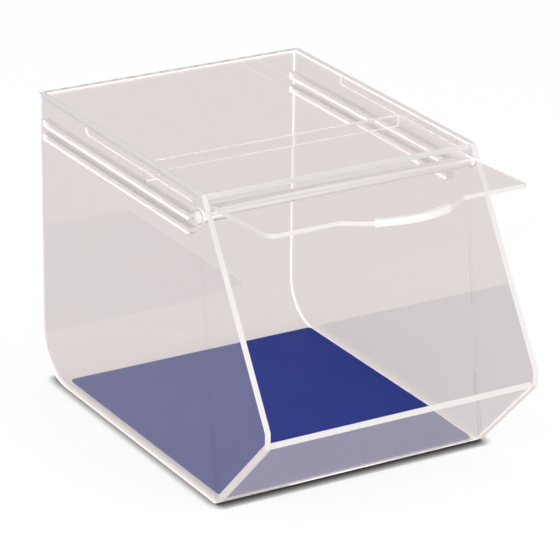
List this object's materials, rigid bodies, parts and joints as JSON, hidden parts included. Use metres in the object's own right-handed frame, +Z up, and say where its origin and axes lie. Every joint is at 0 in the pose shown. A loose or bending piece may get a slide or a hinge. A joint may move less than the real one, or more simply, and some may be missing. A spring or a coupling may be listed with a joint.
{
  "type": "candy bin",
  "caption": "Clear acrylic countertop candy bin with a sliding lid, a finger tab with a grip strip, a cross rod and a blue floor mat.",
  "frame": {"origin": "centre of the body's flat bottom face, halfway between the side panels and halfway from lip to back", "axes": "+Z up, -Y towards the mouth and the finger tab, +X to the right as seen from the front"},
  "size_m": [0.2044, 0.3094, 0.2],
  "materials": {
    "clear_acrylic": "polished clear",
    "clear_rod": "polished clear",
    "clear_vinyl": "clear, soft",
    "blue_plastic": "satin"
  },
  "bodies": {
    "shell": {"side_panel_left": "clear_acrylic", "side_panel_right": "clear_acrylic", "formed_sheet": "clear_acrylic", "top_panel": "clear_acrylic", "upper_runner_left": "clear_acrylic", "upper_runner_right": "clear_acrylic", "lower_runner_left": "clear_acrylic", "lower_runner_right": "clear_acrylic", "side_guide_left": "clear_acrylic", "side_guide_right": "clear_acrylic", "floor_mat": "blue_plastic"},
    "rod": {"cross_rod": "clear_rod", "rod_plug_left": "clear_rod", "rod_plug_right": "clear_rod"},
    "lid": {"lid": "clear_acrylic", "lid_grip": "clear_vinyl"}
  },
  "joints": [
    {"name": "lid_slide", "type": "slide", "parent": "shell", "child": "lid", "axis": [0, -1, 0], "range_m": [0, 0.074]},
    {"name": "rod_turn", "type": "hinge", "parent": "shell", "child": "rod", "pos_m": [0, -0.0695, 0.186], "axis": [1, 0, 0], "continuous": true}
  ]
}
